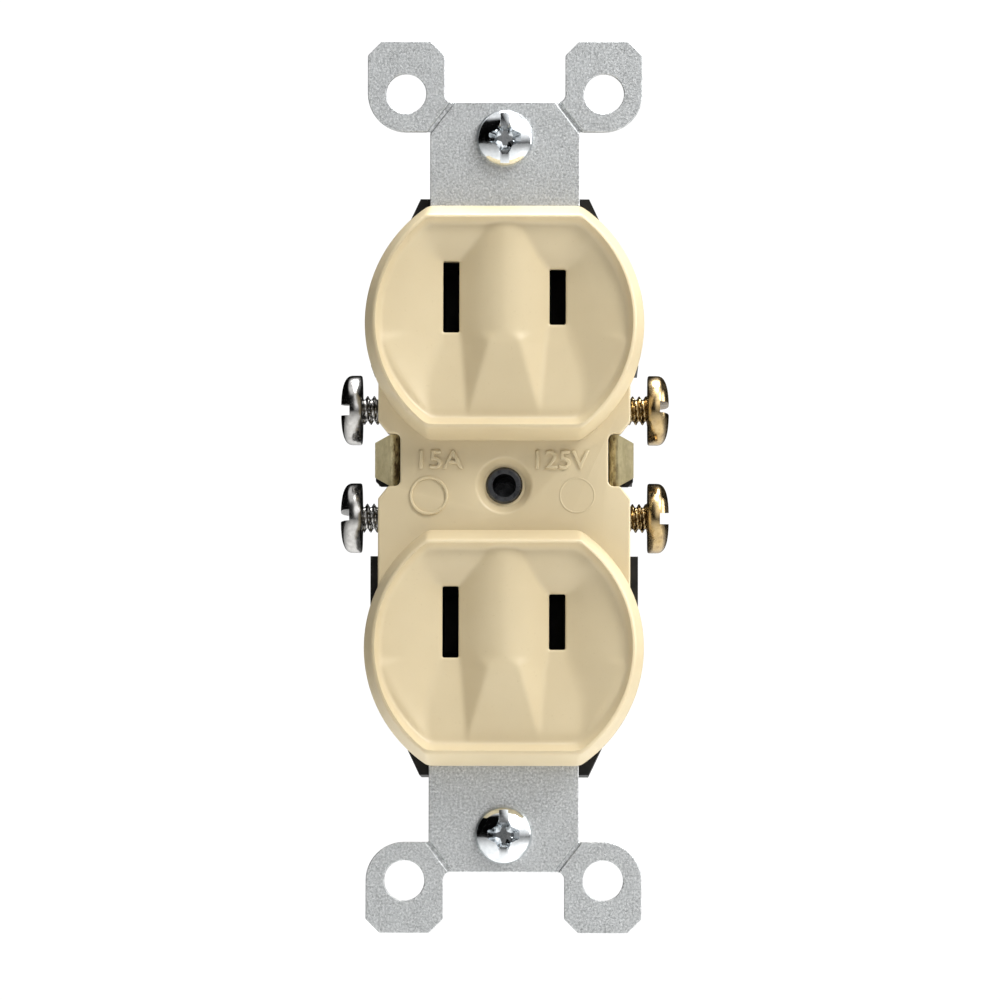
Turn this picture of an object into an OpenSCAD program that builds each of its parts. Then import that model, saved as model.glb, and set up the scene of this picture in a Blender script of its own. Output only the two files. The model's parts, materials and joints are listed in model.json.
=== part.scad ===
// Two-wire duplex wall outlet. X is the width, Y runs into the wall and Z is up.
// The origin is the centre of the strap's back plane, which rests on the wall.

/* [Strap] */
// Overall length of the strap over its ears
strap_length = 106.7; // [104:0.1:110]
// Width of the strap between its ears
strap_width = 17.9; // [16:0.1:19]
// Thickness of the strap's sheet steel
strap_t = 1.1; // [0.9:0.05:1.3]
// Spacing of the two device screws that go into the wall box
box_screw_spacing = 83.34; // [83:0.01:84]
// Sideways spacing of the ear holes
ear_hole_spacing_x = 23.7; // [23:0.1:25]
// Upright spacing of the ear holes
ear_hole_spacing_z = 94.2; // [93:0.1:95]
// Diameter of an ear hole
ear_hole_d = 4.8; // [4:0.1:5.5]

/* [Cover] */
// Upright spacing of the two sockets
socket_spacing = 38.8; // [38.6:0.1:39]
// Diameter of a socket face at its foot
face_d = 33.4; // [33:0.1:33.8]
// Distance across the flats of a socket face at its foot
face_flats = 28.1; // [27.8:0.1:28.3]
// How far the front rims stand in front of the wall
face_front = 7.1; // [6.8:0.1:7.6]
// How far the bridge between the sockets stands in front of the wall
bridge_front = 3.1; // [2.8:0.1:3.4]
// Width of the bridge
bridge_w = 30.1; // [29.6:0.1:30.4]

/* [Blade slots] */
// Distance between the two blades of a plug
blade_spacing = 12.7; // [12.6:0.05:12.8]
// Width of a blade slot
slot_w = 1.95; // [1.8:0.05:2.1]
// Length of the neutral slot, the longer one
neutral_slot_l = 8.54; // [8.2:0.02:8.8]
// Length of the hot slot
hot_slot_l = 6.66; // [6.4:0.02:6.9]
// How far the slots, contacts and terminals sit above the middle of each socket
contact_rise = 3.05; // [2.8:0.05:3.2]

/* [Body] */
// Width of the rear body
body_w = 32; // [31.5:0.1:33]
// Length of the rear body
body_l = 69; // [68.6:0.1:70]
// Depth of the rear body behind the wall plane
body_depth = 20.6; // [19.5:0.1:24]

/* [Terminals] */
// Upright distance between the two terminal screws of one side
terminal_spacing = 13; // [12.8:0.1:13.4]
// Diameter of a terminal screw's head
terminal_head_d = 8.4; // [8:0.1:8.6]
// Gap between a backed-out screw's head and its terminal plate
terminal_gap = 3.85; // [3:0.05:4]
// Slot angle of each terminal screw: neutral upper, neutral lower, hot upper, hot lower
slot_angles = [2, -3, -4, 3];

/* [Hidden] */
$fn = 48;
eps = 0.05;

// Number 6-32 thread, used by every screw
thread_r = 1.75;
thread_root_r = 1.32;
thread_pitch = 0.794;
thread_clearance = 0.05;

// Sides: the neutral side is on the left seen from the front
neutral = -1;
hot = 1;

// Strap
ear_x = ear_hole_spacing_x / 2;
ear_z = ear_hole_spacing_z / 2;
ear_r = 4.6;
ear_inner_x = 7.23;
ear_chamfer = 1.65;
strap_end_z = 46.1;
strap_fillet = 0.9;
web_w = 5.2;
web_pad_r = 5;
strap_wide_from_z = 28.4;
score_w = 0.5;
score_depth = 0.4;
mount_slot_w = 6.2;
mount_slot_h = 4.1;
box_screw_z = box_screw_spacing / 2;

// Cover
socket_z = socket_spacing / 2;
face_r = face_d / 2;
face_half = face_flats / 2;
taper_l = 3.9;
rim_r = face_r - 1;
rim_half = face_half - 1.35;
rim_w = 0.6;
dish_depth = 0.6;
slot_mouth = 3;
slot_mouth_y = -(face_front - slot_mouth);
slot_x = blade_spacing / 2;
hopper_inner_slope = 0.62;
hopper_outer_slope = 0.36;
hopper_top_slope = 0.5;
hopper_bottom_slope = 0.27;
leaf_room_y = -2.9;
leaf_room_w = 5.5;
leaf_room_l = 8.8;
fit_gap = 0.12;
tab_notch_x = 12.4;
tab_notch_h = 6.3;
bridge_corner = 1.5;
recess_top_r = 3.15;
recess_floor_r = 2.5;
recess_depth = 0.95;
peg_x = 6.2;
peg_z = 30.6;
peg_r = 1.2;
peg_l = 4;

// Body
body_end_w = 20.2;
body_shoulder_z = 22;
terminal_zone = 22.8;
back_step_z = 15.6;
back_step_y = 16.6;
back_chamfer = 1.6;
spine_x = 3.5;
floor_y = 17.4;
strip_floor_y = 11.45;
channel_x0 = 12.35;
channel_x1 = 13.45;
recess_back_y = 12.6;
ledge_x = 13.8;
rib_front_y = 0.4;
rib_cap_y = 2.3;
rib_x = 15.4;
rib_cap_h = 6;
rib_web_h = 4;

// Contact strips
strip_t = 0.8;
plate_x = 12.5;
plate_out_x = plate_x + strip_t;
plate_y0 = 2.6;
plate_y1 = 11.4;
plate_gap = 3.2;
plate_half = 10.5;
arm_y0 = 7.6;
contact_z = socket_z;
leaf_l = 6.4;
leaf_t = 0.7;
link_h = 6.2;
fin_y = -1.6;
fin_bend_r = 1.1;
fin_tip_x = 15.45;
fin_tip_h = 4.1;
neck_h = 1.1;

// Terminal screws
terminal_y = 7;
terminal_dz = terminal_spacing / 2;
head_h = 2.6;
head_rim_h = 1.3;
screw_slot_w = 1.35;
screw_slot_depth = 1.1;
terminal_tip_x = 11.4;

// Push-in wire holes and their springs
wire_hole_r = 1.1;
wire_hole_x = 11.2;
wire_hole_dz = 3.5;
wire_mouth_r = 1.6;
wire_mouth_depth = 0.6;
spring_pivot = [7.2, 14.6];
spring_tip = [11.85, 10.2];
spring_bead_r = 0.6;
spring_t = 0.36;
spring_l = 3;
release_x = 8.6;
release_w = 1.3;
release_l = 3.2;

// Rivet
rivet_bore_r = 1.4;
rivet_bore_end_y = 15;
rivet_shank_r = 1.95;
rivet_lip_r = 2.2;
rivet_lip_h = 0.5;
rivet_front_y = -(bridge_front - recess_depth + rivet_lip_h - 0.1);
rivet_seat_y = -(bridge_front - recess_depth);
rivet_washer_r = 4.4;
rivet_washer_t = 0.6;
rivet_seat_depth = 1.6;
rivet_clinch_r = 3;
rivet_clinch_h = 0.8;

// Screws that hold the device to its wall box; each has a thin neck that its keeper can't leave
box_head_r = 3.43;
box_head_h = 2.1;
box_head_rim = 0.7;
box_shank_l = 25.4;
box_neck_r = 1.3;
box_neck_l = 8.5;
box_cross_w = 1;
box_cross_l = 4.3;
box_cross_depth = 1.3;
box_slot_depth = 0.8;
keeper_w = 8;
keeper_t = 0.9;
keeper_y = 4.6;

// ---- Helpers ----

// A shape drawn in X and Z, extruded in Y from y0 to y1
module slab(y0, y1)
    translate([0, y1, 0]) rotate([90, 0, 0]) linear_extrude(y1 - y0) children();

// A profile of radius and Y, turned about the Y axis
module turned_y() rotate([-90, 0, 0]) rotate_extrude() children();

// A profile of radius and X, turned about the X axis
module turned_x() rotate([0, 90, 0]) rotate_extrude() children();

// A box from corner a to corner b
module block(a, b) translate(a) cube(b - a);

module both_sides()
    for (s = [neutral, hot]) scale_x(s) children();

module scale_x(s)
    if (s < 0) mirror([1, 0, 0]) children(); else children();

module both_ends()
    for (m = [0, 1]) mirror([0, 0, m]) children();

// Half of a screw thread's outline: ridges of the full radius over the root, from 0 to length
function ridges(length) = [
    for (i = [0 : floor(length / thread_pitch) - 1])
        for (p = [[thread_root_r, 0.1], [thread_r, 0.42], [thread_r, 0.58], [thread_root_r, 0.9]])
            [p[0], (i + p[1]) * thread_pitch]];

// ---- Strap ----

module ear_outline()
    difference() {
        union() {
            translate([ear_x, ear_z]) circle(ear_r);
            translate([ear_inner_x, ear_z - ear_r]) square([ear_x - ear_inner_x, ear_r]);
            polygon([
                [ear_inner_x, ear_z],
                [ear_x + ear_r, ear_z],
                [ear_x + ear_r, strap_length / 2 - ear_chamfer],
                [ear_x + ear_r - ear_chamfer, strap_length / 2],
                [ear_inner_x + ear_chamfer, strap_length / 2],
                [ear_inner_x, strap_length / 2 - ear_chamfer]]);
            translate([ear_inner_x - strap_fillet, strap_end_z])
                square([strap_fillet, strap_fillet]);
        }
        translate([ear_inner_x - strap_fillet, strap_end_z + strap_fillet])
            circle(strap_fillet);
        translate([ear_x, ear_z]) circle(d = ear_hole_d);
    }

// The strap's middle: a narrow web with a pad round the rivet, and a wide plate at each end
module strap_plate(y0, y1, gap = 0) {
    both_ends() slab(y0, y1) translate([-strap_width / 2 - gap, strap_wide_from_z - gap])
        square([strap_width + 2 * gap, strap_end_z - strap_wide_from_z + gap]);
    slab(y0, y1) translate([-web_w / 2 - gap, -strap_wide_from_z - 1])
        square([web_w + 2 * gap, 2 * strap_wide_from_z + 2]);
    turned_y() translate([0, y0]) square([web_pad_r + gap, y1 - y0]);
}

module mount_slot()
    translate([0, box_screw_z]) union() {
        square([mount_slot_w - mount_slot_h, mount_slot_h], center = true);
        for (s = [-1, 1])
            translate([s * (mount_slot_w - mount_slot_h) / 2, 0]) circle(d = mount_slot_h);
    }

// A score line across the neck of an ear, on the strap's face at y
module score(y) {
    from = [6.3, strap_end_z];
    to = [9.05, ear_z - ear_r];
    run = to - from;
    translate([(from[0] + to[0]) / 2, y, (from[1] + to[1]) / 2])
        rotate([0, atan2(run[0], run[1]), 0])
            cube([score_w, 2 * score_depth, norm(run) + 2], center = true);
}

module mounting_strap()
    color("silver") difference() {
        union() {
            strap_plate(-strap_t, 0);
            both_sides() both_ends() slab(-strap_t, 0) ear_outline();
        }
        both_ends() slab(-strap_t - 1, 1) mount_slot();
        both_sides() both_ends() {
            translate([peg_x, -strap_t - 1, peg_z]) rotate([-90, 0, 0])
                cylinder(h = strap_t + 2, r = peg_r + fit_gap);
            score(-strap_t);
            score(0);
        }
        turned_y() translate([0, -strap_t - 1]) square([rivet_shank_r + eps, strap_t + 2]);
    }

// ---- Front cover ----

// A socket's outline at its front rim, grown by g
module rim_outline(g)
    intersection() {
        circle(rim_r + g);
        square([4 * face_r, 2 * (rim_half + g)], center = true);
    }

// A socket's outer block, from the wall plane to the front rim, with a tapered front
module socket_block() {
    taper_y = taper_l - face_front;
    intersection() {
        turned_y() polygon([
            [0, -face_front], [rim_r, -face_front], [face_r, taper_y], [face_r, 0], [0, 0]]);
        rotate([90, 0, 90]) linear_extrude(4 * face_r, center = true) polygon([
            [0, -face_half], [0, face_half], [taper_y, face_half],
            [-face_front, rim_half], [-face_front, -rim_half], [taper_y, -face_half]]);
    }
}

// The funnel in front of one blade slot, before it is trimmed to the dish
module hopper(side, slot_l) {
    x_in = slot_w / 2 + slot_mouth / hopper_inner_slope;
    x_out = slot_w / 2 + slot_mouth / hopper_outer_slope;
    z_up = slot_l / 2 + slot_mouth / hopper_top_slope;
    z_down = slot_l / 2 + slot_mouth / hopper_bottom_slope;
    front = -face_front;
    scale_x(side) translate([slot_x, 0, contact_rise]) intersection() {
        linear_extrude(8 * face_r, center = true) polygon([
            [-slot_w / 2, slot_mouth_y], [slot_w / 2, slot_mouth_y],
            [x_out, front], [-x_in, front]]);
        rotate([90, 0, 90]) linear_extrude(8 * face_r, center = true) polygon([
            [slot_mouth_y, -slot_l / 2], [slot_mouth_y, slot_l / 2],
            [front, z_up], [front, -z_down]]);
    }
}

module socket_dish() {
    slab(-face_front - 1, -face_front + dish_depth) rim_outline(-rim_w);
    intersection() {
        slab(-face_front, slot_mouth_y) rim_outline(-rim_w);
        union() {
            hopper(neutral, neutral_slot_l);
            hopper(hot, hot_slot_l);
        }
    }
}

module blade_slot(side, slot_l)
    translate([side * slot_x, (slot_mouth_y + leaf_room_y) / 2, contact_rise])
        cube([slot_w, leaf_room_y - slot_mouth_y + 2 * eps, slot_l], center = true);

module leaf_room()
    both_sides() translate([slot_x, leaf_room_y / 2 + 1, contact_rise])
        cube([leaf_room_w, 2 - leaf_room_y, leaf_room_l], center = true);

module bridge_outline() {
    half = bridge_w / 2;
    z0 = contact_rise - tab_notch_h / 2;
    z1 = contact_rise + tab_notch_h / 2;
    polygon([
        [-half, -socket_z], [half, -socket_z],
        [half, z0 - bridge_corner], [half - bridge_corner * 0.8, z0],
        [tab_notch_x, z0], [tab_notch_x, z1],
        [half - bridge_corner * 0.8, z1], [half, z1 + bridge_corner],
        [half, socket_z], [-half, socket_z],
        [-half, z1 + bridge_corner], [-half + bridge_corner * 0.8, z1],
        [-tab_notch_x, z1], [-tab_notch_x, z0],
        [-half + bridge_corner * 0.8, z0], [-half, z0 - bridge_corner]]);
}

module front_cover()
    color("khaki") union() {
        difference() {
            union() {
                slab(-bridge_front, 0) bridge_outline();
                for (s = [-1, 1]) translate([0, 0, s * socket_z]) socket_block();
            }
            for (s = [-1, 1]) translate([0, 0, s * socket_z]) {
                socket_dish();
                blade_slot(neutral, neutral_slot_l);
                blade_slot(hot, hot_slot_l);
                leaf_room();
            }
            strap_plate(-strap_t - fit_gap, 1, fit_gap);
            turned_y() polygon([
                [0, -bridge_front - 1], [recess_top_r, -bridge_front - 1],
                [recess_top_r, -bridge_front], [recess_floor_r, rivet_seat_y],
                [rivet_shank_r + eps, rivet_seat_y], [rivet_shank_r + eps, 1], [0, 1]]);
        }
        for (sx = [-1, 1], sz = [-1, 1])
            translate([sx * peg_x, -strap_t - fit_gap - eps, sz * peg_z])
                rotate([-90, 0, 0]) cylinder(h = peg_l + strap_t, r = peg_r);
    }

// ---- Rear body ----

module body_outline(g = 0)
    polygon([for (m = [[1, 1], [1, -1], [-1, -1], [-1, 1]])
        for (p = m[0] * m[1] > 0
                ? [[body_end_w / 2, body_l / 2], [body_w / 2, body_shoulder_z]]
                : [[body_w / 2, body_shoulder_z], [body_end_w / 2, body_l / 2]])
            [m[0] * (p[0] - g), m[1] * (p[1] - g)]]);

// One side's contact pocket at the height of a socket, with the way in for the strip's base
module contact_pocket()
    translate([0, 0, contact_z]) {
        block([spine_x, -1, -leaf_room_l / 2],
            [slot_x + leaf_room_w / 2, strip_floor_y, leaf_room_l / 2]);
        block([slot_x, plate_y1 - 2 * strip_t, -leaf_l / 2 - 0.2],
            [channel_x1, strip_floor_y, leaf_l / 2 + 0.2]);
        block([slot_x, -1, -leaf_l / 2 - 0.2], [channel_x1, strip_floor_y, 0.5]);
    }

// The space behind one terminal plate, for a screw's tip, a wire and its spring
module terminal_pocket(s)
    block([spine_x, -1, s > 0 ? 1.2 : -plate_half], [channel_x0 + eps, floor_y, s > 0 ? plate_half : -1.2]);

module wire_entry(s) {
    translate([wire_hole_x, 0, s * wire_hole_dz]) rotate([-90, 0, 0]) {
        cylinder(h = body_depth + 1, r = wire_hole_r);
        translate([0, 0, body_depth - wire_mouth_depth])
            cylinder(h = wire_mouth_depth + eps, r1 = wire_hole_r, r2 = wire_mouth_r);
    }
    translate([release_x, (floor_y + body_depth) / 2, s * wire_hole_dz])
        cube([release_w, body_depth - floor_y + 2, release_l], center = true);
}

// The seat that holds one wire spring's bead
module spring_seat(s)
    difference() {
        translate([spring_pivot[0], 0, s * wire_hole_dz])
            block([-0.95, spring_pivot[1] + 0.1, -spring_l / 2 - 0.2],
                [0.8, floor_y + eps, spring_l / 2 + 0.2]);
        translate([spring_pivot[0], spring_pivot[1], s * wire_hole_dz])
            cylinder(h = spring_l + 2, r = spring_bead_r + 0.07, center = true);
    }

module side_rib() {
    block([channel_x1, rib_cap_y - eps, -rib_web_h / 2], [rib_x, body_depth - 1, rib_web_h / 2]);
    slab(rib_front_y, rib_cap_y) polygon([
        [channel_x1, -rib_cap_h / 2], [rib_x - 0.6, -rib_cap_h / 2], [rib_x, -rib_cap_h / 2 + 0.6],
        [rib_x, rib_cap_h / 2 - 1.8], [rib_x - 1.6, rib_cap_h / 2], [channel_x1, rib_cap_h / 2]]);
}

module rear_body()
    color("dimgray") union() {
        difference() {
            intersection() {
                slab(0, body_depth) body_outline();
                rotate([90, 0, 90]) linear_extrude(body_w + 2, center = true) polygon([
                    [0, -body_l / 2], [back_step_y - back_chamfer, -body_l / 2],
                    [back_step_y, -body_l / 2 + back_chamfer],
                    [back_step_y, contact_rise - back_step_z - 2],
                    [body_depth, contact_rise - back_step_z],
                    [body_depth, contact_rise + back_step_z],
                    [back_step_y, contact_rise + back_step_z + 2],
                    [back_step_y, body_l / 2 - back_chamfer],
                    [back_step_y - back_chamfer, body_l / 2], [0, body_l / 2]]);
            }
            both_sides() translate([0, 0, contact_rise]) {
                block([channel_x1, -1, -terminal_zone / 2],
                    [body_w, recess_back_y, terminal_zone / 2]);
                block([ledge_x, -1, -terminal_zone / 2], [body_w, body_depth + 1, terminal_zone / 2]);
                block([channel_x0, -1, -contact_z - 0.5], [channel_x1, strip_floor_y, contact_z + 0.5]);
                both_ends() contact_pocket();
                for (s = [-1, 1]) {
                    terminal_pocket(s);
                    wire_entry(s);
                }
            }
            for (sx = [-1, 1], sz = [-1, 1]) translate([sx * peg_x, -1, sz * peg_z])
                rotate([-90, 0, 0]) cylinder(h = peg_l + 1.2, r = peg_r + eps);
            turned_y() polygon([
                [0, -1], [rivet_shank_r + eps, -1],
                [rivet_shank_r + eps, body_depth - rivet_seat_depth],
                [rivet_washer_r + 0.1, body_depth - rivet_seat_depth],
                [rivet_washer_r + 0.1, body_depth + 1], [0, body_depth + 1]]);
        }
        both_sides() translate([0, 0, contact_rise]) {
            side_rib();
            for (s = [-1, 1]) spring_seat(s);
        }
    }

// ---- Rivet ----

module centre_rivet() {
    back = body_depth - rivet_seat_depth + rivet_washer_t;
    color("gray") turned_y() polygon([
        [0, rivet_bore_end_y], [rivet_bore_r, rivet_bore_end_y],
        [rivet_bore_r, rivet_front_y], [rivet_lip_r - 0.25, rivet_front_y],
        [rivet_lip_r, rivet_front_y + 0.25], [rivet_lip_r, rivet_seat_y - 0.1],
        [rivet_shank_r, rivet_seat_y], [rivet_shank_r, back],
        [rivet_clinch_r, back], [rivet_clinch_r, back + rivet_clinch_h / 2],
        [rivet_shank_r, back + rivet_clinch_h], [0, back + rivet_clinch_h]]);
}

module rivet_washer()
    color("silver") translate([0, body_depth - rivet_seat_depth, 0]) turned_y()
        translate([rivet_shank_r + eps, 0]) square([rivet_washer_r - rivet_shank_r - eps, rivet_washer_t]);

// ---- Contact strips ----

// One spring leaf of a blade contact, on the side away from the plug's middle
module leaf()
    linear_extrude(leaf_l, center = true) polygon([
        [1.9, plate_y1 - eps], [1.9 + leaf_t, plate_y1 - eps], [1.9 + leaf_t, 7.4],
        [0.8 + leaf_t, 4.7], [0.8 + leaf_t, 4.1], [1.35 + leaf_t, 2.1],
        [1.35, 2], [0.8, 4], [0.8, 4.8], [1.9, 7.5]]);

module blade_contact()
    translate([slot_x, 0, 0]) {
        leaf();
        mirror([1, 0, 0]) leaf();
    }

// One end of the strip: a terminal plate, the arm to its contact and the contact's base
module strip_end(screw_hole_r)
    union() {
        difference() {
            block([plate_x, plate_y0, plate_gap / 2], [plate_out_x, plate_y1, plate_half]);
            translate([plate_x - 1, terminal_y, terminal_dz]) rotate([0, 90, 0])
                cylinder(h = strip_t + 2, r = screw_hole_r);
        }
        block([plate_x, arm_y0, plate_half - eps], [plate_out_x, plate_y1, contact_z + 0.2]);
        block([slot_x - 1.9 - leaf_t, plate_y1 - strip_t, contact_z - leaf_l / 2],
            [plate_out_x, plate_y1, contact_z + 0.2]);
        block([slot_x - 1.9 - leaf_t, plate_y1 - strip_t, contact_z],
            [slot_x + 1.9 + leaf_t, plate_y1, contact_z + leaf_l / 2]);
        translate([0, 0, contact_z]) blade_contact();
        block([plate_x, 1.1, plate_gap / 2 + 0.1], [plate_out_x, plate_y0 + eps, plate_gap / 2 + 0.1 + neck_h]);
    }

// The break-off link between the two ends, bent outwards into a fin
module break_off_link() {
    bend_y = fin_y + fin_bend_r;
    bend_x = plate_x + fin_bend_r;
    block([plate_x, bend_y - eps, -link_h / 2], [plate_out_x, 1.2, link_h / 2]);
    translate([bend_x, bend_y, 0]) intersection() {
        difference() {
            cylinder(h = link_h, r = fin_bend_r, center = true);
            cylinder(h = link_h + 1, r = fin_bend_r - strip_t, center = true);
        }
        block([-fin_bend_r - 1, -fin_bend_r - 1, -link_h], [eps, eps, link_h]);
    }
    slab(fin_y, fin_y + strip_t) polygon([
        [bend_x, -link_h / 2], [fin_tip_x - 0.15, -fin_tip_h / 2 - 0.1], [fin_tip_x, -fin_tip_h / 2],
        [fin_tip_x, fin_tip_h / 2], [fin_tip_x - 0.15, fin_tip_h / 2 + 0.1], [bend_x, link_h / 2]]);
}

module contact_strip(side)
    color("darkkhaki") translate([0, 0, contact_rise]) scale_x(side) {
        both_ends() strip_end(thread_r + thread_clearance);
        break_off_link();
    }

// ---- Terminal screws ----

module terminal_screw_shape(slot_angle) {
    under = plate_out_x + terminal_gap;
    r = terminal_head_d / 2;
    shank = under - terminal_tip_x;
    difference() {
        union() {
            translate([under, 0, 0]) turned_x() polygon([
                [0, -eps], [thread_r, -eps], [thread_r, 0.15], [r - 0.3, 0],
                [r, 0.25], [r, head_rim_h], [r - 0.3, head_rim_h + 0.45],
                [r - 1.1, head_h - 0.4], [r - 2.3, head_h - 0.1], [0.8, head_h], [0, head_h]]);
            translate([terminal_tip_x, 0, 0]) turned_x() polygon(concat(
                [[0, 0]], ridges(shank), [[thread_root_r, shank], [0, shank]]));
        }
        translate([under + head_h - screw_slot_depth, 0, 0]) rotate([slot_angle, 0, 0])
            block([0, -terminal_head_d, -screw_slot_w / 2], [2, terminal_head_d, screw_slot_w / 2]);
    }
}

module terminal_screw(side, end, slot_angle)
    color(side == hot ? "goldenrod" : "lightgray")
        translate([0, terminal_y, contact_rise + end * terminal_dz]) scale_x(side)
            terminal_screw_shape(slot_angle);

// ---- Wire springs ----

module wire_spring(side, end) {
    run = spring_tip - spring_pivot;
    color("silver") scale_x(side)
        translate([spring_pivot[0], spring_pivot[1], contact_rise + end * wire_hole_dz]) union() {
            cylinder(h = spring_l, r = spring_bead_r, center = true);
            rotate([0, 0, atan2(run[1], run[0])])
                block([0, -spring_t / 2, -spring_l / 2], [norm(run), spring_t / 2, spring_l / 2]);
        }
}

// ---- Box screws ----

module box_screw(end)
    color("whitesmoke") translate([0, -strap_t, end * box_screw_z]) difference() {
        turned_y() polygon(concat(
            [[0, -box_head_h], [1.3, -box_head_h], [2.35, -box_head_h + 0.35],
                [box_head_r - 0.2, -box_head_rim - 0.25], [box_head_r, -box_head_rim],
                [box_head_r, 0], [box_neck_r, 0]],
            [for (p = ridges(box_shank_l - box_neck_l - 0.8)) [p[0], p[1] + box_neck_l]],
            [[thread_root_r, box_shank_l - 0.4], [0.9, box_shank_l], [0, box_shank_l]]));
        block([-box_cross_w / 2, -box_head_h - 1, -box_head_r - 1],
            [box_cross_w / 2, -box_head_h + box_slot_depth, box_head_r + 1]);
        for (a = [0, 90]) rotate([0, a, 0])
            block([-box_cross_w / 2, -box_head_h - 1, -box_cross_l / 2],
                [box_cross_w / 2, -box_head_h + box_cross_depth, box_cross_l / 2]);
    }

module screw_keeper(end)
    color("tan") translate([0, 0, end * box_screw_z]) slab(keeper_y, keeper_y + keeper_t)
        difference() {
            square(keeper_w, center = true);
            circle(box_neck_r + thread_clearance);
        }

// ---- What is drawn ----

front_cover();
rear_body();
mounting_strap();
centre_rivet();
rivet_washer();
contact_strip(neutral);  // neutral_contact_strip
contact_strip(hot);  // hot_contact_strip
terminal_screw(neutral, 1, slot_angles[0]);  // upper_neutral_screw
terminal_screw(neutral, -1, slot_angles[1]);  // lower_neutral_screw
terminal_screw(hot, 1, slot_angles[2]);  // upper_hot_screw
terminal_screw(hot, -1, slot_angles[3]);  // lower_hot_screw
wire_spring(neutral, 1);  // upper_neutral_wire_spring
wire_spring(neutral, -1);  // lower_neutral_wire_spring
wire_spring(hot, 1);  // upper_hot_wire_spring
wire_spring(hot, -1);  // lower_hot_wire_spring
box_screw(1);  // upper_box_screw
box_screw(-1);  // lower_box_screw
screw_keeper(1);  // upper_screw_keeper
screw_keeper(-1);  // lower_screw_keeper
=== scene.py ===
"""Looks for a two-wire duplex wall outlet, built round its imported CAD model.

Shapes are worked out in millimetres in the frame of the CAD model: X right, Y into the wall,
Z up, origin at the centre of the strap's back plane. Mesh builders scale them to metres.
"""
import json
import math

import bmesh
import bpy
from mathutils import Matrix, Quaternion, Vector
from mathutils.geometry import delaunay_2d_cdt


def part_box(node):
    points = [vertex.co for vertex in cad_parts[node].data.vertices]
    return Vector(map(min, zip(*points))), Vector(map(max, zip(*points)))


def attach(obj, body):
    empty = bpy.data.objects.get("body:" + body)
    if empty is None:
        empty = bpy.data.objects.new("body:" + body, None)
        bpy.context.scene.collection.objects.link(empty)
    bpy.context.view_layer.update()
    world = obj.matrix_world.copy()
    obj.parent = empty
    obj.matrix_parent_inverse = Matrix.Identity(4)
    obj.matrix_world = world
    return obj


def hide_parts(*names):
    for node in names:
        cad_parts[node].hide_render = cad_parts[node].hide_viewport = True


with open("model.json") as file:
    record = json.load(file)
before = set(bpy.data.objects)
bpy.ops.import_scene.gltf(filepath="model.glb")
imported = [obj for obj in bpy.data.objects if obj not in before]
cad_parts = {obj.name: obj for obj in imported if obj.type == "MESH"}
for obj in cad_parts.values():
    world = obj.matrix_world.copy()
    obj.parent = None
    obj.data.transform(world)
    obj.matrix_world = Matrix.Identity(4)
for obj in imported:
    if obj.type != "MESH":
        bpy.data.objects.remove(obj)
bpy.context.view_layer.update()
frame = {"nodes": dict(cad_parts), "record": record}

MM = 0.001
FULL_TURN = 2 * math.pi
nodes = frame["nodes"]
mounts = {m["name"]: m for m in frame["record"]["mounts"]}


def box_mm(node):
    """Lowest and highest corner of a CAD node, in millimetres."""
    return [tuple(c / MM for c in corner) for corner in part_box(node)]


def mount_mm(name):
    return tuple(c / MM for c in mounts[name]["pos_m"])


# ---- Sizes in millimetres ----

_, socket_y, SOCKET_Z = mount_mm("upper_plug_socket")
FACE_FRONT = -socket_y
FACE_R = 15.7
FACE_HALF = 12.7
FACE_CORNER_R = 0.9
FOOT_GROW = (1.0, 1.35)          # of the round sides and of the flats
TAPER_L = 3.9
RIM_ROUND = 0.32
CREST = 0.34
BEVEL_SLOPE = 1.7

CONTACT_RISE = (mount_mm("upper_hot_terminal")[2] + mount_mm("lower_hot_terminal")[2]) / 2
SLOT_X = 6.35
SLOT_W = 1.95
SLOT_L = {-1: 8.54, 1: 6.66}
SLOT_CORNER_R = 0.22
SLOT_LIP = 0.14
MOUTH_DEPTH = 3.0
INNER_SLOPE = 0.68
INNER_FALL = 0.093
TOP_SLOPE = 0.61
TOP_RISE = 0.36
BOTTOM_SLOPE = 0.148
EDGE_DEPTH = 0.45
LAND_DEPTH = 0.66
LAND_SLOPE = 0.1
LAND_BREAK_Z = -2.55
ROOM_Y = -2.9
ROOM_W = 5.5
ROOM_L = 8.8

BRIDGE_FRONT = 3.1
BRIDGE_HALF = 15.05
NOTCH_X = 12.4
NOTCH_HALF_H = 3.15
BRIDGE_CORNER = 1.5

STRAP_T = -box_mm("mounting_strap")[0][1]
BEND_X = 13.2                     # where the break-off fins bend outwards
THREAD_R = 1.75
THREAD_ROOT_R = 1.32
THREAD_PITCH = 0.794

THREAD_FADE = 1.3                 # how fast the thread grows from the tip, per pitch
RIDGE_PEAK = 1.25                 # over 1, so that a ridge has a flat crest
RIDGE_SLOPE = 3.4

FIT_GAP = 0.12
WEB_HALF = 2.6
WEB_PAD_R = 5
STRAP_HALF = 8.95
STRAP_WIDE_Z = 28.4
STRAP_CUT_Z = 40                  # past the cover's end
CUT_DEPTH = 1                     # how far cutters run past the cover's back
RECESS_WALL = ((3.6, -0.02), (3.36, 0.05), (3.2, 0.16), (3.1, 0.3))   # radius, depth
RECESS_FLOOR = ((2.62, -2.28), (2.5, -2.15))                           # radius, Y
RIVET_ROOM_R = 2
PEG_X = 6.2
PEG_Z = 30.6
PEG_R = 1.2
PEG_TIP = 0.3

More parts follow.
